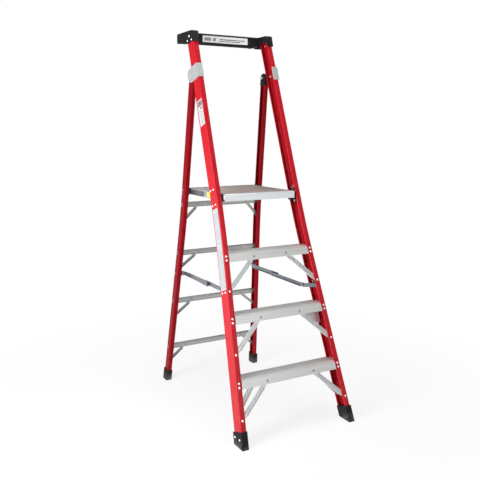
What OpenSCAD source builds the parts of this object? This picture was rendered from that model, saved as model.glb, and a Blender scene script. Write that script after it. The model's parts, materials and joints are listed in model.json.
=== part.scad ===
// Platform step ladder with a guard cap: fibreglass channel rails, aluminium treads and
// platform, folding rear frame, two lower spreaders and two platform links.
// Millimetres. +Z is up, the climbing side faces -Y, +X is to the right of someone
// climbing. The origin is on the floor, midway between the four boots.

/* [Front rails] */
// Wall of the web of a front rail
front_web_t = 4; // [3.5:0.5:4.5]
// Wall of the flanges of a front rail
front_flange_t = 5; // [4.5:0.5:5]
// Bulb along the free edge of a flange
front_bulb = 8; // [7:0.5:8]

/* [Rear rails] */
// Wall of the web of a rear rail
rear_web_t = 4; // [3.5:0.5:4]
// Wall of the flanges of a rear rail
rear_flange_t = 4.5; // [4:0.5:4.5]

/* [Treads] */
// Height of the first tread above the floor
first_tread = 315; // [310:1:318]
// Drop of the front skirt below the tread
skirt_drop = 42; // [40:1:44]
// Front to back depth of a tread
tread_depth = 78; // [74:1:78]
// Depth of the anti-slip grooves
groove_depth = 1.2; // [0.8:0.2:1.6]
// Width of a knee brace
brace_w = 24; // [20:1:24]

/* [Platform] */
// Top of the platform above the floor
platform_top = 1225; // [1222:1:1226]
// Half of the platform's width
platform_half = 219; // [214:1:219]
// Height of the platform's edge profiles
platform_edge = 38; // [34:1:40]

/* [Cap] */
// Height of the top of the cap
cap_top = 2099; // [2097:1:2103]
// Wall of the moulded cap
cap_wall = 4; // [3:0.5:4]

/* [Spreaders] */
// Height of the rear spreader bars
spreader_h = 24; // [20:1:24]
// Wall of the spreader bars
spreader_t = 2.5; // [2:0.5:3]

/* [Rivets] */
// Radius of a rivet shank
rivet_r = 3; // [2.5:0.5:3]
// Radius of a rivet head
rivet_head_r = 6; // [5:0.5:6.5]

/* [Hidden] */
eps = 0.05;
fit = 0.15;
rise = 305;
tread_count = 3;

// Leans of the two frames, as run over rise
front_lean = 19.67;
rear_lean = 8.3;
base_front = -537.1;
base_rear = 537.2;

// Half widths over the outside of the webs, at heights above the floor
front_splay = [[0, 343], [950, 273.8], [1050, 268.3], [1150, 264.8], [2120, 248.2]];
rear_splay = [[0, 326.5], [950, 270], [1050, 265.4], [1150, 261.7], [1900, 244.1]];
front_d = 82.2;
front_w = 28.6;
rear_d = 50.2;
rear_w = 25.4;

function front_half(z) = lookup(z, front_splay);
function rear_half(z) = lookup(z, rear_splay);
function front_y(z) = base_front + tan(front_lean) * z;
function rear_y(z) = base_rear - rear_d - tan(rear_lean) * z;
// A point behind the front plane by n, at the length s along the front rails
function rail_y(n, s) = base_front + n * cos(front_lean) + s * sin(front_lean);
function rail_z(n, s) = s * cos(front_lean) - n * sin(front_lean);
function tread_z(k) = first_tread + (k - 1) * rise;

// Pivots in the side view: [y, z]
hinge = [238.9, 1864];
deck_pivot = [-59.1, 1204];
link_rear = [320.9, 1204];
link_length = 165.3;
link_front = [link_rear[0] - link_length, 1204];
spread_front = [-194.1, 702];
spread_rear = [387.9, 702];
spread_joint = [131.1, 702];
pin_r = 6;
small_pin_r = 4.5;
run = 0.05;
hinge_end_r = 24.8;
rear_channel_top = 1822;

// Lateral places of the moving bars
front_bar_x = [217.5, 226];
rear_bar_x = [227, 236];
link_x = [221.5, 225.5];

// Rear cross bars: heights of their centres
cross_z = [1121, 824, 517, 215];
cross_set = 24;
cross_d = 19;

// Rivet rows through the front flanges, below each tread
flange_rivets = [12, 31.6];
foot_drop = 183.5;
brace_top_x = [143.5, 122, 101];
brace_rivet_drop = 25;

// Bores through the front webs: [distance behind the front plane, length along the rail]
deck_rivets = [[28, 1336], [62, 1336], [28, 1254], [62, 1254]];
spreader_rivets = [[26, 786], [60, 786]];
cap_rivets = [[36, 2070], [12, 2049], [66, 2047]];
boot_rivets = [[19, 41.5], [67, 38.5]];

// ---------------------------------------------------------------- building blocks

module mirror_to(side) {
    if (side > 0) children();
    else mirror([1, 0, 0]) children();
}

// A convex outline carried through level stations [dx, dy, z]
module loft(outline, stations) {
    n = len(outline);
    m = len(stations);
    points = [for (s = stations) for (p = outline) [p[0] + s[0], p[1] + s[1], s[2]]];
    bottom = [[for (i = [0 : n - 1]) i]];
    top = [[for (i = [n - 1 : -1 : 0]) (m - 1) * n + i]];
    sides = [for (j = [0 : m - 2]) for (i = [0 : n - 1])
        [j * n + i, (j + 1) * n + i, (j + 1) * n + (i + 1) % n, j * n + (i + 1) % n]];
    polyhedron(points, concat(bottom, top, sides));
}

function box_outline(x0, x1, y0, y1, c) = [
    [x0 + c, y0], [x1 - c, y0], [x1, y0 + c], [x1, y1 - c],
    [x1 - c, y1], [x0 + c, y1], [x0, y1 - c], [x0, y0 + c]];

function front_stations(z0, z1) = concat(
    [[front_half(z0), front_y(z0), z0]],
    [for (p = front_splay) if (p[0] > z0 && p[0] < z1) [p[1], front_y(p[0]), p[0]]],
    [[front_half(z1), front_y(z1), z1]]);

function rear_stations(z0, z1) = concat(
    [[rear_half(z0), rear_y(z0), z0]],
    [for (p = rear_splay) if (p[0] > z0 && p[0] < z1) [p[1], rear_y(p[0]), p[0]]],
    [[rear_half(z1), rear_y(z1), z1]]);

// Stations run on in a straight line past both ends
function beyond(a, b, e) = a + (a - b) * e / abs(a[2] - b[2]);
function extended(stations, e) = let (m = len(stations)) concat(
    [beyond(stations[0], stations[1], e)],
    [for (i = [1 : 1 : m - 2]) stations[i]],
    [beyond(stations[m - 1], stations[m - 2], e)]);

// Channel section with its web outward; g grows it on every side
module channel(stations, d, w, web, flange, bulb, g) {
    through = extended(stations, 4);
    difference() {
        loft(box_outline(-w - g, g, -g, d + g, 2), stations);
        loft(box_outline(-w + 6 + g, -web - g, flange + g, d - flange - g, 2.5), through);
        loft(box_outline(-w - 3, -w + 9, bulb + g, d - bulb - g, 0.5), through);
    }
}

module front_channel(z0, z1, g = 0) {
    channel(front_stations(z0, z1), front_d, front_w, front_web_t, front_flange_t,
        front_bulb, g);
}

module rear_channel(z0, z1, g = 0) {
    channel(rear_stations(z0, z1), rear_d, rear_w, rear_web_t, rear_flange_t,
        rear_flange_t + 1.5, g);
}

// Outline in the side view, drawn as [y, z], run from x0 to x1
module side_plate(x0, x1) {
    translate([x0, 0, 0])
        rotate([90, 0, 90])
            linear_extrude(x1 - x0) children();
}

// Round bar or bore along X at [y, z]
module cross_pin(p, x0, x1, r) {
    translate([x0, p[0], p[1]])
        rotate([0, 90, 0])
            cylinder(r = r, h = x1 - x0, $fn = 48);
}

// Places children on the front plane of the front rails, +Z outward, +Y up the rail
module on_front(x, z) {
    translate([x, front_y(z), z])
        rotate([90 - front_lean, 0, 0]) children();
}

// The same on the plane of their rear flanges, +Z rearward
module on_back(x, z) {
    translate([x, front_y(z) + front_d, z])
        rotate([-90 - front_lean, 0, 0]) children();
}

// Front plane of the rear rails
module on_rear_front(x, z) {
    translate([x, rear_y(z), z])
        rotate([90 + rear_lean, 0, 0]) children();
}

// Frame whose Y runs behind the front plane and Z runs up the rail
module rail_frame() {
    translate([0, base_front, 0])
        rotate([-front_lean, 0, 0]) children();
}

module rear_rail_frame(z) {
    translate([0, rear_y(z), z])
        rotate([rear_lean, 0, 0]) children();
}

// Tilt of a front web at a height, and a place on its outer face
module on_front_web(n, s, out = 0) {
    z = rail_z(n, s);
    tilt = atan((front_half(z - 5) - front_half(z + 5)) / 10);
    translate([front_half(z) + out, rail_y(n, s), z])
        rotate([0, 90 - tilt, 0]) children();
}

module on_rear_web(n, z, out = 0) {
    tilt = atan((rear_half(z - 5) - rear_half(z + 5)) / 10);
    translate([rear_half(z) + out, rear_y(z) + n, z])
        rotate([0, 90 - tilt, 0]) children();
}

// Rivet with its head on the surface at z = 0 and its shank going down to a set tail,
// which is left off where the shank ends inside a solid block
module rivet(grip, tail = 1.6) {
    translate([0, 0, 0.03])
        cylinder(r1 = rivet_head_r, r2 = rivet_head_r * 0.62, h = 2.2, $fn = 32);
    translate([0, 0, -grip]) cylinder(r = rivet_r, h = grip + 0.03 + eps, $fn = 32);
    if (tail > 0)
        translate([0, 0, -grip - tail])
            cylinder(r = rivet_r * 1.45, h = tail + eps, $fn = 32);
}

module rivet_bore(grip) {
    translate([0, 0, -grip]) cylinder(r = rivet_r + eps, h = grip + 4, $fn = 32);
}

module in_both() {
    children();
    mirror([1, 0, 0]) children();
}

// ---------------------------------------------------------------- front frame

function flange_rivet_x(z) = front_half(z) - 13.2;

module front_flange_bores() {
    for (k = [1 : tread_count]) {
        for (drop = flange_rivets) {
            z = tread_z(k) - drop;
            on_front(flange_rivet_x(z), z) rivet_bore(20);
        }
        z = tread_z(k) - foot_drop;
        on_front(flange_rivet_x(z), z) rivet_bore(20);
    }
}

// Rivets of the rear braces under the first tread: [x, height] on the rear flange plane
rear_brace_top = [162, tread_z(1) - 22.5];
rear_brace_foot = [320.5, 118];

module rear_brace_bore(p) {
    on_back(p[0], p[1]) rivet_bore(20);
}

// Places children on a rail web at a depth behind the front plane, measured level
module on_front_side(p, out) {
    n = p[0] * cos(front_lean);
    on_front_web(n, (p[1] + n * sin(front_lean)) / cos(front_lean), out) children();
}

module front_web_bores() {
    for (p = deck_rivets) on_front_web(p[0], p[1]) rivet_bore(12);
    for (p = spreader_rivets) on_front_web(p[0], p[1]) rivet_bore(12);
    for (p = cap_rivets) on_front_side(p, 6) rivet_bore(20);
    for (p = boot_rivets) on_front_side(p, 6) rivet_bore(16);
    cross_pin(collar_bolt, 200, 300, 4 + eps);
}

module front_rail(side) {
    color([0.86, 0.08, 0.11])
        mirror_to(side)
            difference() {
                front_channel(14, 2084);
                front_flange_bores();
                front_web_bores();
                rear_brace_bore(rear_brace_foot);
            }
}

module front_boot(side) {
    color([0.06, 0.06, 0.06])
        mirror_to(side)
            difference() {
                loft(box_outline(-front_w - 3.2, 6, -5.1, front_d + 6.4, 3),
                    front_stations(0, 110));
                rail_frame()
                    translate([200, -60, 87]) cube([220, 240, 120]);
                front_channel(13.8, 120, fit);
                for (p = boot_rivets) on_front_side(p, 6) rivet_bore(16);
            }
}

// Moulded cap: two end pieces on the rail tops and a beam behind them
cap_end_in = 217;
cap_rear = 405;
cap_bar_front = 298;
cap_bar_low = 2038;

module cap_end_outline() {
    polygon([
        [front_y(2039) - 6, 2039], [215, 2039], [253, 2032], [300, 2034],
        [cap_rear - 8, 2046], [cap_rear, 2054], [cap_rear, cap_top - 8],
        [cap_rear - 8, cap_top], [front_y(2039) + 20, cap_top],
        [front_y(2039) + 11, cap_top - 3]]);
}

module cap_end_cavity() {
    polygon([
        [front_y(2030) - 0.2, 2020], [cap_rear + 20, 2020], [cap_rear + 20, 2034],
        [cap_rear - 5, 2052], [cap_rear - cap_wall - 1, 2058],
        [cap_rear - cap_wall, cap_top - 12], [cap_rear - 12, cap_top - 6],
        [front_y(2039) + 24, cap_top - 6], [front_y(2090) - 0.2, 2090]]);
}

module cap_end() {
    difference() {
        side_plate(cap_end_in, 256) cap_end_outline();
        // hollow behind the outer wall, open below and under a short inner skirt
        side_plate(cap_end_in + 2.3, 252 - 0.6) cap_end_cavity();
        side_plate(cap_end_in - 1, cap_end_in + 3)
            polygon([[100, 2000], [cap_rear + 20, 2000], [cap_rear + 20, 2046],
                [cap_bar_front, 2058], [100, 2062]]);
        front_channel(2010, 2084.2, fit);
    }
}

module cap_beam() {
    difference() {
        side_plate(-cap_end_in - 2, cap_end_in + 2)
            polygon([
                [cap_bar_front, 2046], [cap_bar_front - 4, 2046],
                [cap_bar_front - 4, cap_top - 3], [cap_bar_front - 1, cap_top],
                [cap_rear - 8, cap_top], [cap_rear, cap_top - 8], [cap_rear, 2054],
                [cap_rear - 8, 2046]]);
        // hollow from below
        translate([-cap_end_in + 6, cap_bar_front + 3, 2000])
            cube([2 * cap_end_in - 12, cap_rear - cap_bar_front - 8, cap_top - 2006]);
        // recess for the front panel
        translate([-cap_end_in + 26, cap_bar_front - 10, 2050])
            cube([2 * cap_end_in - 52, 8, cap_top - 2058]);
        // top tray
        translate([-170, cap_bar_front + 24, cap_top - 2.5]) cube([340, 56, 10]);
    }
    // lower lip of the middle part
    side_plate(-182, 182)
        polygon([
            [cap_bar_front - 4, cap_bar_low], [cap_bar_front - 4, 2052],
            [cap_bar_front + 3, 2052], [cap_bar_front + 3, cap_bar_low]]);
    // stiffening ribs inside the beam
    for (x = [-120, -40, 40, 120])
        translate([x - 1.5, cap_bar_front, 2052])
            cube([3, cap_rear - cap_bar_front - 3, cap_top - 2055]);
}

module top_cap() {
    color([0.07, 0.07, 0.08])
        difference() {
            union() {
                cap_beam();
                in_both() cap_end();
            }
            in_both()
                for (p = cap_rivets) on_front_side(p, 6) rivet_bore(20);
        }
}

// Aluminium collar round the front flange and the web, carrying the top pivot
collar_in = 253.8;
collar_out = 257.8;
collar_bolt = [198.4, 1870];

module hinge_collar(side) {
    color([0.84, 0.86, 0.88])
        mirror_to(side)
            difference() {
                union() {
                    side_plate(collar_in, collar_out)
                        union() {
                            polygon([
                                [front_y(1848) - 4, 1848], [214, 1818],
                                [hinge[0] + 6, 1826], [hinge[0] + 20, 1852],
                                [hinge[0] + 20, 1868], [hinge[0] + 8, 1886],
                                [211, 1902], [front_y(1921) - 4, 1921]]);
                            translate(hinge) circle(r = 21, $fn = 48);
                        }
                    difference() {
                        loft(box_outline(-front_w - 0.6, 6, -4, 3, 0.5),
                            [for (z = [1848, 1921]) [collar_out - 6, front_y(z), z]]);
                        front_channel(1800, 1960, fit);
                        translate([215, front_y(1800), 1800])
                            rotate([-front_lean, 0, 0])
                                translate([0, 0.05, -20]) cube([38.7, 12, 220]);
                    }
                }
                cross_pin(hinge, collar_in - 1, collar_out + 1, pin_r + eps);
                cross_pin(collar_bolt, 200, 300, 4 + eps);
            }
}

// Bolt and nut of one top pivot
module hinge_pin_set() {
    cross_pin(hinge, 211, collar_out + 0.1, pin_r);
    cross_pin(hinge, collar_out + 0.1 - eps, collar_out + 2.4, 13);
    translate([206.5, hinge[0], hinge[1]])
        rotate([0, 90, 0]) cylinder(r = 10, h = 4.5 + eps, $fn = 6);
}

module hinge_pins() {
    color([0.7, 0.72, 0.74]) in_both() hinge_pin_set();
}

module hinge_spacers() {
    color([0.1, 0.1, 0.1])
        in_both()
            difference() {
                cross_pin(hinge, rear_half(1850) + 0.3, collar_in - 0.05, 14);
                cross_pin(hinge, 230, 260, pin_r + eps);
            }
}

module collar_bolts() {
    color([0.66, 0.68, 0.7])
        in_both() {
            cross_pin(collar_bolt, 240, collar_out + 1.4, 4);
            cross_pin(collar_bolt, collar_out + 0.05, collar_out + 1.4, 7.5);
            cross_pin(collar_bolt, 243.2, 248.3, 7.5);
        }
}

// ---------------------------------------------------------------- treads and braces

function sheared(list) = [for (p = list) [p[0] + tan(front_lean) * p[1], p[1]]];

groove_pitch = 6;
function grooves(from, to, depth) = [
    for (o = [from : groove_pitch : to - groove_pitch])
        for (q = [[0, 0], [0.3, -depth], [2.7, -depth], [3, 0]]) [o + q[0], q[1]]];

function tread_outline() = concat(
    [[0, -skirt_drop], [0, -5], [15, 0]],
    grooves(20, tread_depth - 4, groove_depth),
    [[tread_depth, 0], [tread_depth, -30], [tread_depth - 3, -30], [tread_depth - 3, -4],
     [13, -4], [3, -7.5], [3, -skirt_drop + 2.4], [7, -skirt_drop + 2.4],
     [7, -skirt_drop]]);

module tread_end_tabs(k) {
    z = tread_z(k);
    x1 = front_half(z) - front_web_t - 1.2;
    edge = front_half(z) - front_w - 1.2;
    tabs = front_half(z) - front_w;
    // tread plate running in between the flanges
    translate([0, front_y(z), z])
        side_plate(edge - 3, x1)
            polygon(sheared([[front_bulb + 0.6, -1.6], [tread_depth - 6, -1.6],
                [tread_depth - 6, -4], [front_bulb + 0.6, -4]]));
    // plate behind the front flange, with the pad that meets the flange
    translate([0, front_y(z), z])
        side_plate(edge - 12, x1 - 1)
            polygon(sheared([[front_bulb + 0.4, -2], [front_bulb + 3.4, -2],
                [front_bulb + 3.4, -skirt_drop + 2], [front_bulb + 0.4, -skirt_drop + 2]]));
    translate([0, front_y(z), z])
        side_plate(tabs + 12.5, x1 - 4)
            polygon(sheared([[front_flange_t + eps, -6], [front_bulb + 0.5, -6],
                [front_bulb + 0.5, -skirt_drop + 4], [front_flange_t + eps, -skirt_drop + 4]]));
    // joggle back from the skirt
    translate([0, front_y(z), z])
        side_plate(edge - 12, edge - 5)
            polygon(sheared([[1, -8], [front_bulb + 3.4, -6],
                [front_bulb + 3.4, -skirt_drop + 3], [1, -skirt_drop + 3]]));
}

module tread(k) {
    z = tread_z(k);
    edge = front_half(z) - front_w - 1.2;
    tilt = atan((front_half(z - 20) - front_half(z + 20)) / 40);
    color([0.8, 0.81, 0.82])
        difference() {
            union() {
                difference() {
                    translate([0, front_y(z), z])
                        side_plate(-edge - 3.2, edge + 3.2) polygon(sheared(tread_outline()));
                    in_both()
                        translate([edge, front_y(z) - 60, z])
                            rotate([0, -tilt, 0]) translate([0, 0, -100]) cube([20, 200, 140]);
                }
                in_both() tread_end_tabs(k);
            }
            in_both() {
                for (drop = flange_rivets)
                    on_front(flange_rivet_x(z - drop), z - drop) rivet_bore(16);
                on_front(brace_top_x[k - 1], z - brace_rivet_drop) rivet_bore(12);
            }
            if (k == 1) in_both() rear_brace_bore(rear_brace_top);
        }
}

// Pressed channel brace: plate at z = 0 to 2 from its top rivet at the origin to its foot
// rivet at x = len_b, with its side flanges and a pad for each rivet below the plate
module brace_blank(len_b, top_pad, foot_pad, rim_end = 38) {
    difference() {
        union() {
            linear_extrude(2)
                polygon([
                    [-9, -brace_w / 2], [len_b - 30, -brace_w / 2], [len_b + 2, -8],
                    [len_b + 8, -4], [len_b + 8, 4], [len_b + 2, 8],
                    [len_b - 30, brace_w / 2], [-9, brace_w / 2]]);
            for (y = [-brace_w / 2, brace_w / 2 - 2])
                translate([40, y, -6]) cube([len_b - 40 - rim_end, 2, 6.5]);
            translate([0, 0, -top_pad]) cylinder(r = 8, h = top_pad + 1, $fn = 32);
            translate([len_b, 0, -foot_pad]) cylinder(r = 6, h = foot_pad + 1, $fn = 32);
        }
        for (x = [0, len_b])
            translate([x, 0, -20]) cylinder(r = rivet_r + eps, h = 40, $fn = 32);
    }
}

brace_n = 8;

module front_brace(k, side) {
    z = tread_z(k);
    zt = z - brace_rivet_drop;
    zf = z - foot_drop;
    dx = flange_rivet_x(zf) - brace_top_x[k - 1];
    ds = (zt - zf) / cos(front_lean);
    len_b = sqrt(dx * dx + ds * ds);
    color([0.72, 0.74, 0.76])
        mirror_to(side)
            on_front(brace_top_x[k - 1], zt)
                translate([0, 0, -brace_n])
                    rotate([0, 0, -atan2(ds, dx)])
                        mirror([0, 0, 1])
                            brace_blank(len_b, brace_n - 3 * cos(front_lean) - eps,
                                brace_n - front_flange_t * cos(front_lean) - eps);
}

// Rear pair under the lowest tread, in front of its rear skirt and the rear flanges
rear_brace_n = 68.5;
skirt_in_n = (tread_depth - 3) * cos(front_lean);
rear_flange_in_n = (front_d - front_flange_t) * cos(front_lean);

module rear_step_brace(side) {
    dx = rear_brace_foot[0] - rear_brace_top[0];
    ds = (rear_brace_top[1] - rear_brace_foot[1]) / cos(front_lean);
    color([0.62, 0.64, 0.66])
        mirror_to(side)
            on_back(rear_brace_top[0], rear_brace_top[1])
                translate([0, 0, rear_brace_n - front_d * cos(front_lean)])
                    rotate([0, 0, atan2(ds, dx)])
                        mirror([0, 0, 1])
                            brace_blank(norm([dx, ds]), skirt_in_n - rear_brace_n - eps,
                                rear_flange_in_n - rear_brace_n - eps, 52);
}

module gusset_plate() {
    z = tread_z(2);
    x1 = front_half(z) - 10;
    color([0.7, 0.71, 0.72])
        on_front(0, z)
            translate([0, 0, -69.3])
                linear_extrude(1.8)
                    polygon([[196, -14], [x1 - 2, -14], [x1 + 4, -104], [x1 - 44, -104],
                        [206, -60]]);
}

module front_frame_rivets() {
    color([0.9, 0.92, 0.93])
        in_both() {
            for (k = [1 : tread_count]) {
                for (drop = flange_rivets)
                    on_front(flange_rivet_x(tread_z(k) - drop), tread_z(k) - drop)
                        rivet(11.6);
                on_front(flange_rivet_x(tread_z(k) - foot_drop), tread_z(k) - foot_drop)
                    rivet(brace_n + 2.1);
            }
            for (p = deck_rivets) on_front_web(p[0], p[1]) rivet(8.3);
            for (p = spreader_rivets) on_front_web(p[0], p[1]) rivet(7.3);
            on_back(rear_brace_top[0], rear_brace_top[1])
                translate([0, 0, (tread_depth - front_d) * cos(front_lean) + eps]) rivet(7.1);
            on_back(rear_brace_foot[0], rear_brace_foot[1]) rivet(11.2);
        }
}

module skirt_rivets() {
    color([0.3, 0.31, 0.33])
        in_both()
            for (k = [1 : tread_count])
                on_front(brace_top_x[k - 1], tread_z(k) - brace_rivet_drop)
                    rivet(brace_n + 2.1);
}

module cap_and_boot_rivets() {
    color([0.92, 0.93, 0.93])
        in_both() {
            for (p = cap_rivets) on_front_side(p, 256 - front_half(p[1]) + 0.2) rivet(11.5);
            for (p = boot_rivets) on_front_side(p, 6.05) rivet(12, 0);
        }
}

// ---------------------------------------------------------------- brackets on the front rails

// Place of a platform bracket's bolt along the rail
deck_bolt_s = 1256.5;

module deck_bracket(side) {
    color([0.08, 0.08, 0.09])
        mirror_to(side)
            difference() {
                union() {
                    intersection() {
                        rail_frame()
                            translate([235, 12, 1244]) cube([40, 57, 98]);
                        loft(box_outline(-front_web_t - 4.2, -front_web_t - 0.1, -5, 90, 0.3),
                            front_stations(1150, 1340));
                    }
                    intersection() {
                        rail_frame()
                            translate([221.5, 10, 1266]) cube([60, 58, 40]);
                        loft(box_outline(-60, -front_web_t - 1, -5, 90, 0.3),
                            front_stations(1150, 1340));
                    }
                }
                cross_pin(deck_pivot, 200, 300, small_pin_r + eps);
                for (p = deck_rivets) on_front_web(p[0], p[1]) rivet_bore(14);
                rail_frame()
                    translate([230, 45, deck_bolt_s]) rotate([0, 90, 0])
                        cylinder(r = 4 + eps, h = 40, $fn = 32);
            }
}

// Bent strap from the top of a bracket's block up beside its plate
module deck_strap() {
    rail_frame()
        translate([0, 50, 0])
            rotate([90, 0, 0])
                linear_extrude(16)
                    polygon([
                        [229, 1306.1], [236.5, 1306.1], [254.2, 1330], [254.2, 1346],
                        [251.6, 1346], [251.6, 1330.9], [235.2, 1308.7], [229, 1308.7]]);
}

module deck_pins() {
    color([0.62, 0.64, 0.66])
        in_both() {
            cross_pin(deck_pivot, 208, 252, small_pin_r);
            cross_pin(deck_pivot, 204.5, 208 + eps, 8);
            rail_frame()
                translate([front_half(rail_z(45, deck_bolt_s)) - front_web_t - 4.5, 45,
                        deck_bolt_s])
                    rotate([0, 90, 0]) {
                        translate([0, 0, -9]) cylinder(r = 8, h = 9, $fn = 6);
                        translate([0, 0, -1]) cylinder(r = 4, h = 4.8, $fn = 32);
                    }
            deck_strap();
        }
}

module front_spreader_bracket(side) {
    x_web = front_half(715) - front_web_t;
    color([0.6, 0.62, 0.64])
        mirror_to(side)
            difference() {
                union() {
                    intersection() {
                        rail_frame()
                            translate([240, 14, 748]) cube([60, 54, 52]);
                        loft(box_outline(-front_web_t - 3.1, -front_web_t - 0.1, -5, 90, 0.3),
                            front_stations(600, 800));
                    }
                    translate([0, 0, spread_front[1] - 11])
                        linear_extrude(22)
                            polygon([
                                [x_web - 0.4, -242], [x_web - 0.4, -237.5], [231.5, -203.5],
                                [231.5, -182], [228.5, -182], [228.5, -206]]);
                }
                cross_pin(spread_front, 220, 240, small_pin_r + eps);
                for (p = spreader_rivets) on_front_web(p[0], p[1]) rivet_bore(14);
            }
}

module front_spreader_pins() {
    color([0.5, 0.52, 0.54])
        in_both() {
            cross_pin(spread_front, 222, 235, small_pin_r);
            cross_pin(spread_front, 221.2, 223.35, 7);
            cross_pin(spread_front, 231.55, 235.5, 7.5);
        }
}

// ---------------------------------------------------------------- rear frame

// Rivets of a cross bar sit midway up its end plate, behind its web
function end_rivet_z(z) = [z + 5 - 6.5, z + 5 + 6.5];

module rear_web_bores() {
    for (c = cross_z)
        for (z = end_rivet_z(c)) on_rear_web(35, z) rivet_bore(12);
    for (z = [1213, 1193]) on_rear_web(36, z) rivet_bore(12);
    on_rear_web(34, 702) rivet_bore(12);
    cross_pin(hinge, 200, 300, pin_r + run);
}

module rear_rail(side) {
    color([0.8, 0.07, 0.1])
        mirror_to(side)
            difference() {
                rear_channel(14, 1892);
                // flanges end below the pivot, the web runs on to a round end
                translate([180, 150, rear_channel_top]) cube([60.2, 200, 100]);
                difference() {
                    translate([200, 150, hinge[1]]) cube([80, 200, 60]);
                    cross_pin(hinge, 190, 290, hinge_end_r);
                }
                rear_web_bores();
            }
}

module rear_rail_cap(side) {
    color([0.06, 0.06, 0.07])
        mirror_to(side)
            difference() {
                side_plate(217.5, 239.9)
                    union() {
                        polygon([
                            [hinge[0] + 6.1 - hinge_end_r, rear_channel_top + 0.3],
                            [hinge[0] + 6.1 + hinge_end_r + 0.3, rear_channel_top + 0.3],
                            [hinge[0] + hinge_end_r * cos(rear_lean),
                             hinge[1] + hinge_end_r * sin(rear_lean)],
                            [hinge[0] - hinge_end_r * cos(rear_lean),
                             hinge[1] - hinge_end_r * sin(rear_lean)]]);
                        translate(hinge) circle(r = hinge_end_r, $fn = 64);
                    }
                cross_pin(hinge, 200, 260, pin_r + run);
                cross_pin(hinge, 200, 219.5, 14);
            }
}

module rear_boot(side) {
    color([0.06, 0.06, 0.06])
        mirror_to(side)
            difference() {
                loft(box_outline(-rear_w - 3.7, 6.1, -5.5, rear_d + 5, 2.5),
                    rear_stations(0, 90));
                rear_rail_frame(0)
                    translate([200, -60, 64]) cube([220, 240, 120]);
                rear_channel(13.8, 100, fit);
            }
}

module cross_bar(i) {
    z = cross_z[i];
    x1 = rear_half(z + 14) - rear_web_t - 1;
    color([0.62, 0.63, 0.65])
        difference() {
            union() {
                rear_rail_frame(z)
                    side_plate(-x1, x1)
                        polygon([
                            [cross_set, -14], [cross_set, -9.4], [cross_set + 1.3, -9],
                            [cross_set + 1.3, -6], [cross_set, -5.6], [cross_set, 5.6],
                            [cross_set + 1.3, 6], [cross_set + 1.3, 9], [cross_set, 9.4],
                            [cross_set, 14], [cross_set + cross_d, 14],
                            [cross_set + cross_d, 11.8], [cross_set + 2.2, 11.8],
                            [cross_set + 2.2, -11.8], [cross_set + cross_d, -11.8],
                            [cross_set + cross_d, -14]]);
                // end plates that lie against the rail webs
                in_both()
                    intersection() {
                        rear_rail_frame(z)
                            translate([200, cross_set, -14]) cube([130, cross_d - 2, 28]);
                        loft(box_outline(-rear_web_t - 3.2, -rear_web_t - 0.1, -5, 60, 0.3),
                            rear_stations(z - 40, z + 40));
                    }
            }
            in_both() {
                on_rear_front(cross_brace_x(i), z) translate([0, 0, -cross_set])
                    rivet_bore(8);
                for (zr = end_rivet_z(z)) on_rear_web(35, zr) rivet_bore(12);
            }
        }
}

function cross_brace_x(i) = [162, 150, 172, 205][i];
cross_foot_drop = [90, 92, 92, 84];

module cross_brace(i) {
    z = cross_z[i];
    zf = z - cross_foot_drop[i];
    dx = rear_half(zf) - rear_web_t - 11 - cross_brace_x(i);
    ds = (z - zf) / cos(rear_lean);
    len_b = norm([dx, ds]);
    on_rear_front(cross_brace_x(i), z)
        translate([0, 0, -cross_set + eps])
            rotate([0, 0, -atan2(ds, dx)])
                difference() {
                    union() {
                        translate([-10, -8, 0]) cube([len_b + 12, 16, 2]);
                        for (y = [-8, 6])
                            translate([26, y, 1.5]) cube([len_b - 32, 2, 6.5]);
                    }
                    translate([0, 0, -5]) cylinder(r = rivet_r + eps, h = 10, $fn = 32);
                }
}

module cross_braces(i) {
    color([0.66, 0.68, 0.7])
        in_both() cross_brace(i);
}

module deck_rest(side) {
    color([0.07, 0.07, 0.08])
        mirror_to(side)
            difference() {
                union() {
                    rear_rail_frame(1204)
                        side_plate(229.5, 254.5)
                            polygon([[6.6, -20], [6.6, 20], [43, 20], [43, -20]]);
                    cross_pin(link_rear, 226.6, 232, 11);
                }
                cross_pin(link_rear, 200, 235, small_pin_r + eps);
                for (z = [1213, 1193]) on_rear_web(36, z) rivet_bore(14);
            }
}

module deck_rests() {
    for (side = [-1, 1]) deck_rest(side);
}

module link_pins() {
    color([0.6, 0.62, 0.64])
        in_both() {
            cross_pin(link_rear, 220.7, 234.6, small_pin_r);
            cross_pin(link_rear, 219.2, 221.2, 8);
        }
}

module rear_spreader_bracket(side) {
    color([0.58, 0.6, 0.62])
        mirror_to(side)
            difference() {
                union() {
                    rear_rail_frame(702)
                        side_plate(256, rear_half(715) - rear_web_t - 0.5)
                            polygon([[7.2, -12], [7.2, 12], [42, 12], [42, -12]]);
                    rear_rail_frame(702)
                        side_plate(237.6, 258)
                            polygon([[-4, -10], [-4, 10], [22, 10], [22, -10]]);
                }
                cross_pin(spread_rear, 230, 260, small_pin_r + eps);
                on_rear_web(34, 702) rivet_bore(14);
            }
}

module rear_spreader_brackets() {
    for (side = [-1, 1]) rear_spreader_bracket(side);
}

module rear_spreader_pins() {
    color([0.5, 0.52, 0.54])
        in_both() {
            cross_pin(spread_rear, 231.6, 257.6, small_pin_r);
            cross_pin(spread_rear, 231, 233.4, 7);
        }
}

module rear_frame_rivets() {
    color([0.85, 0.87, 0.88])
        in_both() {
            for (c = cross_z)
                for (z = end_rivet_z(c)) on_rear_web(35, z) rivet(7.4);
            for (z = [1213, 1193]) on_rear_web(36, z) rivet(12, 0);
            on_rear_web(34, 702) rivet(12, 0);
            for (i = [0 : 3])
                on_rear_front(cross_brace_x(i), cross_z[i])
                    translate([0, 0, -cross_set + 2.1]) rivet(5);
        }
}

// ---------------------------------------------------------------- platform

deck_front = base_front + 423.5;
deck_rear = base_front + 905;
deck_rib_pitch = 14;

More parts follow.
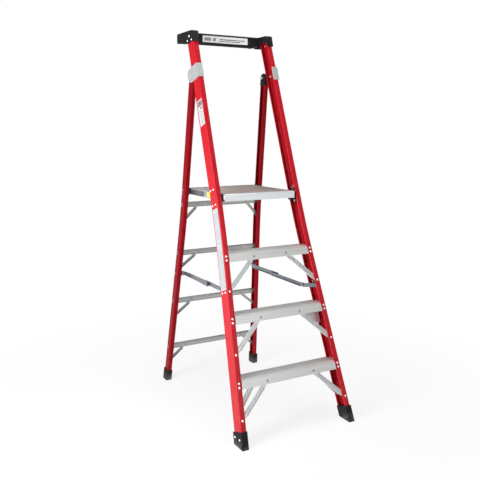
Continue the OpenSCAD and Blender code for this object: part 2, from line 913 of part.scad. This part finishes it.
module platform_deck() {
    color([0.62, 0.57, 0.55])
        translate([0, deck_front + 24, platform_top])
            rotate([90, 0, 90])
                translate([0, 0, -platform_half + 4.2])
                    linear_extrude(2 * platform_half - 8.4)
                        polygon(concat(
                            [[0, -3.4]], [[0, -0.8]],
                            [for (o = [4 : deck_rib_pitch : 425])
                                for (q = [[0, -0.8], [0.8, 0], [6.2, 0], [7, -0.8]])
                                    [o + q[0], q[1]]],
                            [[445.4, -0.8], [445.4, -3.4]]));
}

module platform_front_edge() {
    color([0.9, 0.92, 0.93])
        side_plate(-platform_half, platform_half)
            polygon([
                [deck_front, platform_top - platform_edge],
                [deck_front, platform_top - 4], [deck_front + 4, platform_top],
                [deck_front + 23.9, platform_top], [deck_front + 23.9, platform_top - 7],
                [deck_front + 21.6, platform_top - 7], [deck_front + 21.6, platform_top - 2.4],
                [deck_front + 4.6, platform_top - 2.4], [deck_front + 2.4, platform_top - 5],
                [deck_front + 2.4, platform_top - platform_edge + 2.4],
                [deck_front + 16, platform_top - platform_edge + 2.4],
                [deck_front + 16, platform_top - platform_edge]]);
}

module platform_rear_edge() {
    color([0.55, 0.55, 0.57])
        side_plate(-platform_half, platform_half)
            polygon([
                [deck_rear, platform_top - platform_edge + 8], [deck_rear, platform_top - 2],
                [deck_rear - 2, platform_top], [deck_rear - 11.9, platform_top],
                [deck_rear - 11.9, platform_top - 7], [deck_rear - 9.6, platform_top - 7],
                [deck_rear - 9.6, platform_top - 2.4], [deck_rear - 2.4, platform_top - 2.4],
                [deck_rear - 2.4, platform_top - platform_edge + 8]]);
}

module platform_side(side) {
    y0 = deck_front + 24.1;
    y1 = deck_rear - 12.1;
    low = platform_top - platform_edge + 2;
    color([0.78, 0.8, 0.82])
        mirror_to(side)
            difference() {
                union() {
                    translate([platform_half - 4, y0, low])
                        cube([4, y1 - y0, platform_edge - 2]);
                    translate([platform_half - 24, y0, low])
                        cube([21, y1 - y0, 2.4]);
                    translate([platform_half - 20, y0, platform_top - 6])
                        cube([17, y1 - y0, 2.4]);
                }
                cross_pin(deck_pivot, 190, 240, small_pin_r + run);
            }
}

// Flat boss on each side that meets the open end of a link
module platform_joint_boss(side) {
    color([0.86, 0.88, 0.9])
        mirror_to(side)
            cross_pin(link_front, platform_half + 0.05, platform_half + 2.1, 9);
}

module platform_sides() {
    for (side = [-1, 1]) {
        platform_side(side);
        platform_joint_boss(side);
    }
}

module platform_link(side) {
    color([0.5, 0.52, 0.56])
        mirror_to(side)
            difference() {
                union() {
                    side_plate(link_x[0], link_x[0] + 2.5)
                        union() {
                            translate([link_front[0], link_front[1] - 14])
                                square([link_length, 28]);
                            translate(link_front) circle(r = 14, $fn = 48);
                            translate(link_rear) circle(r = 14, $fn = 48);
                        }
                    for (dz = [-14, 12])
                        translate([link_x[0], link_front[0], link_front[1] + dz])
                            cube([4, link_length - 16, 2]);
                }
                cross_pin(link_front, 200, 240, small_pin_r + run);
                cross_pin(link_rear, 200, 240, small_pin_r + run);
            }
}

module link_ring(side) {
    color([0.06, 0.06, 0.07])
        mirror_to(side)
            difference() {
                cross_pin(link_front, link_x[0] + 2.55, link_x[0] + 5.8, 11.5);
                cross_pin(link_front, 200, 240, small_pin_r + run);
            }
}

module link_assembly(side) {
    platform_link(side);
    link_ring(side);
}

// ---------------------------------------------------------------- lower spreaders

rear_bar_tail = 51;

module spreader_front_bar(side) {
    x0 = front_bar_x[0];
    color([0.52, 0.54, 0.57])
        mirror_to(side)
            difference() {
                union() {
                    side_plate(x0 + 5.9, x0 + 8.4)
                        union() {
                            translate([spread_front[0], spread_front[1] - 10.5])
                                square([spread_joint[0] - spread_front[0], 21]);
                            translate(spread_front) circle(r = 10.5, $fn = 48);
                            translate(spread_joint) circle(r = 10.5, $fn = 48);
                        }
                    for (dz = [-10.5, 8.3])
                        translate([x0 + 0.4, spread_front[0] + 14, spread_front[1] + dz])
                            cube([8, spread_joint[0] - spread_front[0] - 18, 2.2]);
                }
                cross_pin(spread_front, 200, 260, small_pin_r + run);
                cross_pin(spread_joint, 200, 260, small_pin_r + eps);
            }
}

module spreader_joint_pin(side) {
    color([0.4, 0.42, 0.44])
        mirror_to(side) {
            cross_pin(spread_joint, front_bar_x[0] + 3, front_bar_x[1] + 0.3, small_pin_r);
            cross_pin(spread_joint, front_bar_x[0] + 3, front_bar_x[0] + 5.8, 7.5);
        }
}

module spreader_rear_bar(side) {
    x0 = rear_bar_x[0];
    h2 = spreader_h / 2;
    color([0.42, 0.44, 0.47])
        mirror_to(side)
            difference() {
                union() {
                    side_plate(rear_bar_x[1] - spreader_t, rear_bar_x[1])
                        union() {
                            translate([spread_joint[0] - rear_bar_tail, spread_rear[1] - h2])
                                square([spread_rear[0] - spread_joint[0] + rear_bar_tail,
                                    spreader_h]);
                            translate(spread_rear) circle(r = h2, $fn = 48);
                        }
                    for (dz = [-h2, h2 - 2.2])
                        translate([x0 + 0.6, spread_joint[0] - rear_bar_tail,
                                spread_rear[1] + dz])
                            cube([8, spread_rear[0] - spread_joint[0] + rear_bar_tail - 40,
                                2.2]);
                }
                cross_pin(spread_rear, 200, 260, small_pin_r + run);
                cross_pin(spread_joint, 200, 260, small_pin_r + eps);
            }
}

module spreader_sleeve(side) {
    h2 = spreader_h / 2;
    x1 = rear_bar_x[1];
    color([0.75, 0.77, 0.8])
        mirror_to(side)
            translate([0, spread_joint[0] - 44, spread_rear[1]])
                rotate([-90, 0, 0])
                    linear_extrude(70)
                        polygon([
                            [x1 - 7, -h2 - 0.1], [x1 - 7, -h2 - 1.6], [x1 + 1.6, -h2 - 1.6],
                            [x1 + 1.6, h2 + 1.6], [x1 - 7, h2 + 1.6], [x1 - 7, h2 + 0.1],
                            [x1 + 0.1, h2 + 0.1], [x1 + 0.1, -h2 - 0.1]]);
}

module spreader_ring(side) {
    h2 = spreader_h / 2;
    x1 = rear_bar_x[1];
    color([0.06, 0.06, 0.07])
        mirror_to(side)
            translate([0, spread_joint[0] - rear_bar_tail - 4, spread_rear[1]])
                rotate([-90, 0, 0])
                    linear_extrude(10)
                        polygon([
                            [x1 - 8, -h2 - 0.1], [x1 - 8, -h2 - 2.2], [x1 + 2.4, -h2 - 2.2],
                            [x1 + 2.4, h2 + 2.2], [x1 - 8, h2 + 2.2], [x1 - 8, h2 + 0.1],
                            [x1 + 0.1, h2 + 0.1], [x1 + 0.1, -h2 - 0.1]]);
}

module front_bar_assembly(side) {
    spreader_front_bar(side);
    spreader_joint_pin(side);
}

module rear_bar_assembly(side) {
    spreader_rear_bar(side);
    spreader_sleeve(side);
    spreader_ring(side);
}

// ---------------------------------------------------------------- nodes

front_rail(-1);  // front_rail_left
front_rail(1);  // front_rail_right
front_boot(-1);  // front_boot_left
front_boot(1);  // front_boot_right
top_cap();
hinge_collar(-1);  // hinge_collar_left
hinge_collar(1);  // hinge_collar_right
hinge_pins();
hinge_spacers();
collar_bolts();
tread(1);  // tread_1
tread(2);  // tread_2
tread(3);  // tread_3
front_brace(1, -1);  // tread_1_front_brace_left
front_brace(1, 1);  // tread_1_front_brace_right
rear_step_brace(-1);  // tread_1_rear_brace_left
rear_step_brace(1);  // tread_1_rear_brace_right
front_brace(2, -1);  // tread_2_brace_left
front_brace(2, 1);  // tread_2_brace_right
gusset_plate();  // tread_2_gusset
front_brace(3, -1);  // tread_3_brace_left
front_brace(3, 1);  // tread_3_brace_right
front_frame_rivets();
skirt_rivets();
cap_and_boot_rivets();
deck_bracket(-1);  // deck_bracket_left
deck_bracket(1);  // deck_bracket_right
deck_pins();
front_spreader_bracket(-1);  // front_spreader_bracket_left
front_spreader_bracket(1);  // front_spreader_bracket_right
front_spreader_pins();
rear_rail(-1);  // rear_rail_left
rear_rail(1);  // rear_rail_right
rear_rail_cap(-1);  // rear_rail_cap_left
rear_rail_cap(1);  // rear_rail_cap_right
rear_boot(-1);  // rear_boot_left
rear_boot(1);  // rear_boot_right
cross_bar(0);  // cross_bar_1
cross_bar(1);  // cross_bar_2
cross_bar(2);  // cross_bar_3
cross_bar(3);  // cross_bar_4
cross_braces(0);  // cross_braces_1
cross_braces(1);  // cross_braces_2
cross_braces(2);  // cross_braces_3
cross_braces(3);  // cross_braces_4
deck_rests();
link_pins();
rear_spreader_brackets();
rear_spreader_pins();
rear_frame_rivets();
platform_deck();
platform_front_edge();
platform_rear_edge();
platform_sides();
link_assembly(-1);  // platform_link_left
link_assembly(1);  // platform_link_right
front_bar_assembly(-1);  // spreader_front_bar_left
front_bar_assembly(1);  // spreader_front_bar_right
rear_bar_assembly(-1);  // spreader_rear_bar_left
rear_bar_assembly(1);  // spreader_rear_bar_right
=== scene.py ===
import json
import math

import bmesh
import bpy
from mathutils import Euler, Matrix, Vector


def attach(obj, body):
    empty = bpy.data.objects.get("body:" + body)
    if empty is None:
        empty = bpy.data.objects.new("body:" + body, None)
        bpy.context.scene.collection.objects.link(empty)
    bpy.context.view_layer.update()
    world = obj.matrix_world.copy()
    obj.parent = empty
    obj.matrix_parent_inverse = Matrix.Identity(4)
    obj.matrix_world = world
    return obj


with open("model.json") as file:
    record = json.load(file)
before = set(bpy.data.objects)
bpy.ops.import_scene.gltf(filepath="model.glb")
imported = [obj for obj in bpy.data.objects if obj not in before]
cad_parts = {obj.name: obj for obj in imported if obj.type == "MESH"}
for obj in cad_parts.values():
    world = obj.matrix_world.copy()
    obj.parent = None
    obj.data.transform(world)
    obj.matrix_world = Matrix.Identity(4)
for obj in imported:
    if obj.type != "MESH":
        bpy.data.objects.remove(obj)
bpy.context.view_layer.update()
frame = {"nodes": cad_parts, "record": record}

# ------------------------------------------------------------------ camera
CAMERA_PLACE = (-1.7592, -3.0825, 1.5556)
CAMERA_TILT = 80.261  # degrees up from looking straight down
CAMERA_TURN = -28.766  # degrees about Z
CAMERA_LENS = 47.66  # mm, on a 36 mm sensor

camera = bpy.data.objects.new("camera", bpy.data.cameras.new("camera"))
bpy.context.scene.collection.objects.link(camera)
camera.location = CAMERA_PLACE
camera.rotation_euler = Euler((math.radians(CAMERA_TILT), 0.0, math.radians(CAMERA_TURN)), "XYZ")
camera.data.sensor_width = 36.0
camera.data.lens = CAMERA_LENS
camera.data.clip_end = 60.0
bpy.context.scene.camera = camera
bpy.context.scene.view_settings.view_transform = "Standard"

# ------------------------------------------------------------------ the front rails' outer faces, mm
LEAN = math.radians(19.67)
BASE_FRONT = -537.1  # y of the rails' front plane at the floor
FRONT_SPLAY = [(0, 343.0), (950, 273.8), (1050, 268.3), (1150, 264.8), (2120, 248.2)]  # (height, half width)


def front_half(z):
    """Half the width over the two front rails at height z."""
    for (z0, x0), (z1, x1) in zip(FRONT_SPLAY, FRONT_SPLAY[1:]):
        if z <= z1:
            return x0 + (x1 - x0) * (z - z0) / (z1 - z0)
    return FRONT_SPLAY[-1][1]


def on_web(side):
    """place(u, v, h) for a front rail's outer face: u behind its front, v up the rail, h off the face."""
    def place(u, v, h):
        z = v * math.cos(LEAN) - u * math.sin(LEAN)
        y = BASE_FRONT + u * math.cos(LEAN) + v * math.sin(LEAN)
        return Vector((side * (front_half(z) + h), y, z)) / 1000
    return place


# ------------------------------------------------------------------ node materials
MIX_A, MIX_B, MIX_RESULT = 6, 7, 2  # the colour sockets of a Mix node


class Shader:
    """A small builder for one procedural material."""

    def __init__(self, name):
        self.mat = bpy.data.materials.new(name)
        self.mat.use_nodes = True
        self.tree = self.mat.node_tree
        self.bsdf = self.tree.nodes["Principled BSDF"]
        self.coords = self.node("ShaderNodeTexCoord").outputs["Object"]
        self.bumps = None

    def node(self, kind, **settings):
        n = self.tree.nodes.new(kind)
        for key, value in settings.items():
            setattr(n, key, value)
        return n

    def link(self, a, b):
        self.tree.links.new(a, b)

    def put(self, name, value):
        self.bsdf.inputs[name].default_value = value

    def stretched(self, scale):
        """Object coordinates scaled on each axis, so that a texture on them is drawn out along the smallest."""
        m = self.node("ShaderNodeMapping")
        m.inputs["Scale"].default_value = scale
        self.link(self.coords, m.inputs["Vector"])
        return m.outputs["Vector"]

    def noise(self, scale, stretch=None, detail=4.0, rough=0.55):
        n = self.node("ShaderNodeTexNoise")
        n.inputs["Scale"].default_value = scale
        n.inputs["Detail"].default_value = detail
        n.inputs["Roughness"].default_value = rough
        self.link(self.stretched(stretch) if stretch else self.coords, n.inputs["Vector"])
        return n.outputs["Fac"]

    def cells(self, scale):
        n = self.node("ShaderNodeTexVoronoi")
        n.inputs["Scale"].default_value = scale
        self.link(self.coords, n.inputs["Vector"])
        return n.outputs["Color"]

    def height(self):
        n = self.node("ShaderNodeSeparateXYZ")
        self.link(self.coords, n.inputs[0])
        return n.outputs["Z"]

    def range(self, source, lo, hi, to_lo=0.0, to_hi=1.0):
        """source taken from lo..hi to to_lo..to_hi and held there outside it."""
        n = self.node("ShaderNodeMapRange")
        n.clamp = True
        n.inputs["From Min"].default_value = lo
        n.inputs["From Max"].default_value = hi
        n.inputs["To Min"].default_value = to_lo
        n.inputs["To Max"].default_value = to_hi
        self.link(source, n.inputs["Value"])
        return n.outputs["Result"]

    def times(self, a, b):
        n = self.node("ShaderNodeMath", operation="MULTIPLY")
        self.link(a, n.inputs[0])
        self.link(b, n.inputs[1])
        return n.outputs[0]

    def blend(self, fac, a, b):
        """A colour between a and b, each a colour or a socket."""
        n = self.node("ShaderNodeMix", data_type="RGBA")
        self.link(fac, n.inputs[0])
        for socket, value in ((n.inputs[MIX_A], a), (n.inputs[MIX_B], b)):
            if isinstance(value, tuple):
                socket.default_value = (*value, 1.0)
            else:
                self.link(value, socket)
        return n.outputs[MIX_RESULT]

    def colour(self, socket):
        self.link(socket, self.bsdf.inputs["Base Color"])

    def roughness(self, source, lo, hi):
        self.link(self.range(source, 0.3, 0.7, lo, hi), self.bsdf.inputs["Roughness"])

    def bump(self, source, strength, distance):
        n = self.node("ShaderNodeBump")
        n.inputs["Strength"].default_value = strength
        n.inputs["Distance"].default_value = distance
        self.link(source, n.inputs["Height"])
        if self.bumps is not None:
            self.link(self.bumps, n.inputs["Normal"])
        self.bumps = n.outputs["Normal"]

    def painted_crevice_shade(self, base, distance, amount, dark):
        """Painted shade: darkens base towards dark in grooves and inside corners that the part's own ambient
        occlusion finds.
        """
        n = self.node("ShaderNodeAmbientOcclusion", only_local=True)
        n.samples = 4
        n.inputs["Distance"].default_value = distance
        return self.blend(self.range(n.outputs["AO"], 0.35, 0.95, amount, 0.0), base, dark)

    def rounded(self, radius):
        n = self.node("ShaderNodeBevel")
        n.samples = 4
        n.inputs["Radius"].default_value = radius
        self.bumps = n.outputs["Normal"]

    def done(self):
        if self.bumps is not None:
            self.link(self.bumps, self.bsdf.inputs["Normal"])
        return self.mat


def fibreglass(name, painted_shade_scale, gloss=0.22, coat=0.06):
    """Red pultruded fibreglass with fibres along the rail, scuffs, and dust near the floor. The second argument
    scales the whole red down as painted shade, and grooves and inside corners get painted shade.
    """
    def red(*rgb):
        # Every red is multiplied by the second argument; a value below 1 darkens it as painted shade.
        return tuple(c * painted_shade_scale for c in rgb)

    s = Shader(name)
    s.rounded(0.0022)
    streak = s.noise(9.0, (45.0, 45.0, 0.9), 6.0)
    fibre = s.noise(60.0, (22.0, 22.0, 1.0), 3.0)
    mottle = s.noise(26.0, None, 3.0)
    base = s.blend(s.range(streak, 0.3, 0.7), red(0.43, 0.004, 0.011), red(0.51, 0.009, 0.019))
    base = s.blend(s.range(mottle, 0.42, 0.75, 0.0, 0.45), base, red(0.56, 0.016, 0.030))
    scuff = s.range(s.noise(70.0, (1.0, 1.0, 6.0), 8.0, 0.7), 0.63, 0.70, 0.0, 0.22)
    base = s.blend(scuff, base, red(0.58, 0.16, 0.16))
    dust = s.times(s.range(s.height(), 0.4, 0.05, 0.0, 0.16), s.range(mottle, 0.4, 0.7))
    base = s.blend(dust, base, (0.42, 0.10, 0.09))
    # Painted shade: the red darkens in grooves and inside corners.
    s.colour(s.painted_crevice_shade(base, 0.032, 0.72, red(0.12, 0.001, 0.004)))
    s.roughness(fibre, 0.30, 0.46)
    s.put("Specular IOR Level", gloss)
    s.put("Coat Weight", coat)
    s.put("Coat Roughness", 0.25)
    s.bump(fibre, 0.18, 0.0004)
    s.bump(s.noise(700.0, None, 2.0), 0.06, 0.0002)
    return s.done()


def metal(name, light, dark, rough, grain, stretch, metallic, spangle=0.0, radius=0.0007,
          stain=(0.30, 0.28, 0.26), stain_amount=0.25, crevice_shade_reach=0.006, crevice_shade_amount=0.5):
    """Brushed or galvanised metal: fine lines of two tones, stains, and painted shade in grooves and inside
    corners. Lengths in metres.
    """
    s = Shader(name)
    s.rounded(radius)
    lines = s.noise(grain, stretch, 5.0, 0.6)
    cloud = s.noise(14.0, None, 4.0)
    base = s.blend(s.range(lines, 0.3, 0.7), dark, light)
    if spangle:
        grey = s.node("ShaderNodeRGBToBW")
        s.link(s.cells(160.0), grey.inputs[0])
        base = s.blend(s.range(grey.outputs[0], 0.2, 0.9, 0.0, spangle), base, dark)
    marks = s.range(s.noise(38.0, (3.0, 1.0, 1.0), 9.0, 0.72), 0.60, 0.74, 0.0, stain_amount)
    base = s.blend(marks, base, stain)
    base = s.blend(s.range(cloud, 0.4, 0.75, 0.0, 0.25), base, dark)
    # Painted shade: the colour darkens in grooves and inside corners.
    s.colour(s.painted_crevice_shade(base, crevice_shade_reach, crevice_shade_amount, tuple(c * 0.4 for c in dark)))
    s.put("Metallic", metallic)
    s.roughness(lines, rough - 0.08, rough + 0.10)
    s.bump(lines, 0.10, 0.0002)
    s.bump(s.noise(260.0, None, 3.0), 0.03, 0.0002)
    return s.done()


def moulded(name, base_a, base_b, rough, grain, dust_low=None):
    """Grained black plastic or rubber, with dust below the height dust_low."""
    s = Shader(name)
    s.rounded(0.0016)
    cloud = s.noise(20.0, None, 5.0)
    base = s.blend(s.range(cloud, 0.35, 0.7), base_a, base_b)
    scratch = s.range(s.noise(55.0, (1.0, 7.0, 1.0), 8.0, 0.75), 0.62, 0.70, 0.0, 0.22)
    base = s.blend(scratch, base, (0.10, 0.10, 0.10))
    s.put("Specular IOR Level", 0.20)
    if dust_low:
        low = s.times(s.range(s.height(), dust_low, 0.0, 0.0, 0.55), s.range(cloud, 0.35, 0.6))
        base = s.blend(low, base, (0.20, 0.18, 0.16))
    s.colour(base)
    s.roughness(cloud, rough - 0.1, rough + 0.1)
    s.bump(s.noise(grain, None, 2.0), 0.25, 0.0003)
    return s.done()


def printed(name, light, dark=None):
    """Paper or ink of a label, slightly uneven."""
    s = Shader(name)
    cloud = s.noise(90.0, None, 4.0)
    s.colour(s.blend(s.range(cloud, 0.35, 0.75, 0.0, 0.25), light, dark or tuple(c * 0.85 for c in light)))
    s.roughness(cloud, 0.35, 0.5)
    s.bump(cloud, 0.05, 0.0002)
    return s.done()


ALONG_X = (1.2, 260.0, 260.0)  # lines of a profile drawn along X
ALONG_Y = (260.0, 1.2, 260.0)
MATERIALS = {
    "red_fibreglass": fibreglass("red_fibreglass", 1.0),
    "tread_aluminium": metal(
        "tread_aluminium", (0.79, 0.80, 0.78), (0.64, 0.65, 0.64), 0.42, 3.0, ALONG_X, 0.55),
    "edge_aluminium": metal(
        "edge_aluminium", (0.82, 0.85, 0.86), (0.70, 0.73, 0.75), 0.38, 3.0, ALONG_X, 0.5),
    "deck_aluminium": metal(
        "deck_aluminium", (0.52, 0.46, 0.43), (0.36, 0.31, 0.29), 0.50, 3.0, ALONG_X, 0.5,
        stain=(0.62, 0.60, 0.58), stain_amount=0.35),
    "cross_bar_aluminium": metal(
        "cross_bar_aluminium", (0.50, 0.51, 0.50), (0.36, 0.37, 0.36), 0.34, 3.0, ALONG_X, 0.8,
        crevice_shade_amount=0.85),
    "collar_aluminium": metal(
        "collar_aluminium", (0.65, 0.67, 0.68), (0.53, 0.55, 0.56), 0.40, 6.0, (60.0, 60.0, 2.0), 0.5,
        radius=0.0012),
    "brace_steel": metal(
        "brace_steel", (0.90, 0.92, 0.92), (0.66, 0.68, 0.69), 0.36, 20.0, (8.0, 8.0, 2.0), 0.5,
        spangle=0.06, crevice_shade_reach=0.012, crevice_shade_amount=0.85),
    "spreader_steel": metal(
        "spreader_steel", (0.33, 0.36, 0.40), (0.20, 0.22, 0.25), 0.34, 24.0, (20.0, 1.0, 20.0), 0.85,
        spangle=0.35),
    "bright_rivets": metal(
        "bright_rivets", (0.96, 0.97, 0.98), (0.82, 0.83, 0.85), 0.28, 60.0, None, 0.5, radius=0.0005),
    "dark_rivets": metal(
        "dark_rivets", (0.36, 0.36, 0.38), (0.20, 0.20, 0.22), 0.45, 60.0, None, 0.8, radius=0.0005),
    "pin_steel": metal(
        "pin_steel", (0.66, 0.68, 0.71), (0.46, 0.48, 0.51), 0.32, 50.0, (20.0, 2.0, 2.0), 0.85,
        radius=0.0005),
    "black_plastic": moulded("black_plastic", (0.008, 0.008, 0.009), (0.016, 0.016, 0.018), 0.50, 420.0),
    "black_rubber": moulded(
        "black_rubber", (0.007, 0.007, 0.008), (0.014, 0.014, 0.015), 0.70, 300.0, dust_low=0.05),
}
# Pieces that differ from the rest of their material: matt rear rails whose deeper red is painted shade, as
# shaded copies of the one red fibreglass, and duller side profiles
PIECE_LOOKS_AND_PAINTED_SHADE = {
    # Painted shade: the rear rails' reds are the front rails' red darkened, the left more than the right.
    "rear_rail_left": fibreglass("red_fibreglass_rear_left_painted_shade", 0.48, gloss=0.04, coat=0.0),
    "rear_rail_right": fibreglass("red_fibreglass_rear_right_painted_shade", 0.62, gloss=0.04, coat=0.0),
    "platform_sides": metal(
        "side_aluminium", (0.50, 0.51, 0.54), (0.40, 0.41, 0.44), 0.40, 3.0, ALONG_Y, 0.5),
}
PAPER = printed("label_paper", (0.43, 0.48, 0.50), (0.37, 0.42, 0.44))
WHITE_PAPER = printed("label_white_paper", (0.86, 0.87, 0.88), (0.78, 0.79, 0.80))
PALE_PAPER = printed("label_pale_paper", (0.55, 0.57, 0.58), (0.48, 0.51, 0.52))
INK = printed("label_ink", (0.10, 0.11, 0.12))
GREY_INK = printed("label_grey_ink", (0.26, 0.31, 0.34))
RED_INK = printed("label_red_ink", (0.55, 0.10, 0.07))
GREEN_INK = printed("label_green_ink", (0.25, 0.55, 0.30))
YELLOW = printed("label_yellow", (0.86, 0.80, 0.05), (0.78, 0.70, 0.05))

for part in frame["record"]["subparts"]:
    obj = frame["nodes"][part["node"]]
    obj.data.materials.clear()
    obj.data.materials.append(PIECE_LOOKS_AND_PAINTED_SHADE.get(part["node"], MATERIALS[part["material_slot"]]))


# ------------------------------------------------------------------ labels
SHEET = (0.05, 0.35)  # how far a label's paper stands off its face, near side and far side, mm
PRINT = (0.36, 0.42)  # the same for its marks
MARK_STEP = 40  # longest piece of a mark, so that it follows a bent rail, mm


def slab(bm, place, u, v, h, steps, index):
    """A closed thin slab over the ranges u, v and h of a face, in steps along v."""
    rings = []
    for i in range(steps + 1):
        vv = v[0] + (v[1] - v[0]) * i / steps
        rings.append([bm.verts.new(place(uu, vv, hh))
                      for uu, hh in ((u[0], h[0]), (u[1], h[0]), (u[1], h[1]), (u[0], h[1]))])
    faces = [rings[0][::-1], rings[-1]]
    for a, b in zip(rings, rings[1:]):
        faces += [[a[k], a[(k + 1) % 4], b[(k + 1) % 4], b[k]] for k in range(4)]
    for corners in faces:
        bm.faces.new(corners).material_index = index


def label(name, body, place, size_u, size_v, steps, marks, materials):
    """A thin printed label: paper first, then each mark (u0, u1, v0, v1, material) a hair above it."""
    bm = bmesh.new()
    slab(bm, place, size_u, size_v, SHEET, steps, BLANK)
    for u0, u1, v0, v1, index in marks:
        slab(bm, place, (u0, u1), (v0, v1), PRINT, max(1, int((v1 - v0) / MARK_STEP)), index)
    bmesh.ops.recalc_face_normals(bm, faces=bm.faces)
    mesh = bpy.data.meshes.new(name)
    bm.to_mesh(mesh)
    bm.free()
    obj = bpy.data.objects.new(name, mesh)
    bpy.context.scene.collection.objects.link(obj)
    for m in materials:
        mesh.materials.append(m)
    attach(obj, body)


def bars(u0, u1, v0, v1, thick, short):
    """Plain grey bars across the label, every other one shorter."""
    out = []
    v, k = v0, 0
    while v + thick <= v1:
        out.append((u0, u1 - (short if k % 2 else 0.0), v, v + thick, GREY))
        v, k = v + BAR_PITCH, k + 1
    return out


BAR_PITCH = 9.0
BLANK, DARK, GREY, GREEN, RED = range(5)  # material indices of a label
INKS = (INK, GREY_INK, GREEN_INK, RED_INK)

upper_marks = [(12, 62, 1806, 1834, DARK), (18, 56, 1811, 1829, BLANK), (22, 52, 1815, 1825, RED),
               (12, 40, 1790, 1797, DARK)]
upper_marks += bars(12, 60, 1704, 1782, 3.0, 14.0)
label("rail_label_upper", "front_frame", on_web(-1), (7.5, 66), (1697, 1841), 4, upper_marks,
      (PALE_PAPER,) + INKS)

lower_marks = [(12.5, 68.5, 1225, 1229, GREEN), (12.5, 68.5, 1060, 1063, GREEN), (39.5, 41, 806, 1220, GREY)]
for v0, v1 in ((1070, 1216), (812, 1052)):
    for u0, u1 in ((17, 36), (45, 64)):
        lower_marks += bars(u0, u1, v0, v1, 3.6, 5.0)
label("rail_label_lower", "front_frame", on_web(-1), (12, 69), (799, 1233), 12, lower_marks, (PAPER,) + INKS)

CAP_FACE = 296.0  # y of the front of the cap's beam
DECK_SIDE = -219.0  # x of the platform's left side


def on_cap(u, v, h):
    return Vector((u, CAP_FACE - h * 2.0, v)) / 1000


def on_deck_side(u, v, h):
    return Vector((DECK_SIDE - h, u, v)) / 1000


cap_marks = [(-134, -94, 2062, 2079, GREY), (-80, -62, 2062, 2079, GREY), (-40, 128, 2070, 2075, DARK),
             (-40, 96, 2061, 2065, DARK)]
label("cap_label", "front_frame", on_cap, (-146, 146), (2051.5, 2089.5), 2, cap_marks, (WHITE_PAPER,) + INKS)
label("deck_side_label", "platform", on_deck_side, (63, 103), (1194, 1220), 1, [], (YELLOW,))

# ------------------------------------------------------------------ floor and light
FLOOR_RADIUS = 14.0
FLOOR_GREY = 0.93
SHADOW_SPAN = (0.3, 2.2)  # distances from the middle between which the floor's shadow fades out, m
GLOW_AT_MIDDLE = 0.80  # share of plain white in the floor under the ladder; it is 1 outside the span
WORLD_LIGHT = 0.18  # the world as the ladder is lit by it; the camera sees it as plain white


def white(tree, kind, strength=None):
    """An Emission or Background node of plain white."""
    n = tree.nodes.new(kind)
    n.inputs["Color"].default_value = (1.0, 1.0, 1.0, 1.0)
    if strength is not None:
        n.inputs["Strength"].default_value = strength
    return n.outputs[0]


def mixed(tree, fac, a, b, output):
    """Mixes shaders a and b into a new output node."""
    mix = tree.nodes.new("ShaderNodeMixShader")
    for socket, source in zip(mix.inputs, (fac, a, b)):
        tree.links.new(source, socket)
    tree.links.new(mix.outputs[0], tree.nodes.new(output).inputs["Surface"])


floor_mesh = bpy.data.meshes.new("floor")
bm = bmesh.new()
bmesh.ops.create_circle(bm, cap_ends=True, radius=FLOOR_RADIUS, segments=96)
bm.to_mesh(floor_mesh)
bm.free()
floor = bpy.data.objects.new("floor", floor_mesh)
bpy.context.scene.collection.objects.link(floor)
floor_mat = bpy.data.materials.new("floor")
floor_mat.use_nodes = True
tree = floor_mat.node_tree
tree.nodes.clear()
diffuse = tree.nodes.new("ShaderNodeBsdfDiffuse")
diffuse.inputs["Color"].default_value = (FLOOR_GREY, FLOOR_GREY, FLOOR_GREY, 1.0)
distance = tree.nodes.new("ShaderNodeVectorMath")
distance.operation = "LENGTH"
fade = tree.nodes.new("ShaderNodeMapRange")
fade.interpolation_type = "SMOOTHSTEP"
fade.inputs["From Min"].default_value, fade.inputs["From Max"].default_value = SHADOW_SPAN
fade.inputs["To Min"].default_value = GLOW_AT_MIDDLE
tree.links.new(tree.nodes.new("ShaderNodeTexCoord").outputs["Object"], distance.inputs[0])
tree.links.new(distance.outputs["Value"], fade.inputs["Value"])
mixed(tree, fade.outputs["Result"], diffuse.outputs[0], white(tree, "ShaderNodeEmission"),
      "ShaderNodeOutputMaterial")
floor_mesh.materials.append(floor_mat)

world = bpy.data.worlds.new("studio")
bpy.context.scene.world = world
world.use_nodes = True
tree = world.node_tree
tree.nodes.clear()
mixed(tree, tree.nodes.new("ShaderNodeLightPath").outputs["Is Camera Ray"],
      white(tree, "ShaderNodeBackground", WORLD_LIGHT), white(tree, "ShaderNodeBackground", 1.0),
      "ShaderNodeOutputWorld")


def area(name, where, aim, power, width, height):
    """A rectangular lamp at where, facing aim; power in watts."""
    data = bpy.data.lights.new(name, "AREA")
    data.shape = "RECTANGLE"
    data.size, data.size_y, data.energy = width, height, power
    obj = bpy.data.objects.new(name, data)
    obj.location = where
    obj.rotation_euler = (Vector(aim) - Vector(where)).to_track_quat("-Z", "Y").to_euler()
    bpy.context.scene.collection.objects.link(obj)


area("key", (-2.3, -0.6, 1.4), (0, -0.2, 1.1), 80.0, 1.0, 2.4)
area("side", (4.2, 0.2, 1.6), (0, 0, 1.0), 16.0, 2.2, 2.2)
area("back", (0.9, 4.4, 1.7), (0, 0, 1.0), 16.0, 2.2, 2.2)
area("fill", (0.9, -5.0, 2.2), (0, 0, 1.0), 40.0, 2.2, 2.2)
area("top", (0.3, -0.4, 4.8), (0, 0, 1.0), 76.0, 2.0, 2.0)
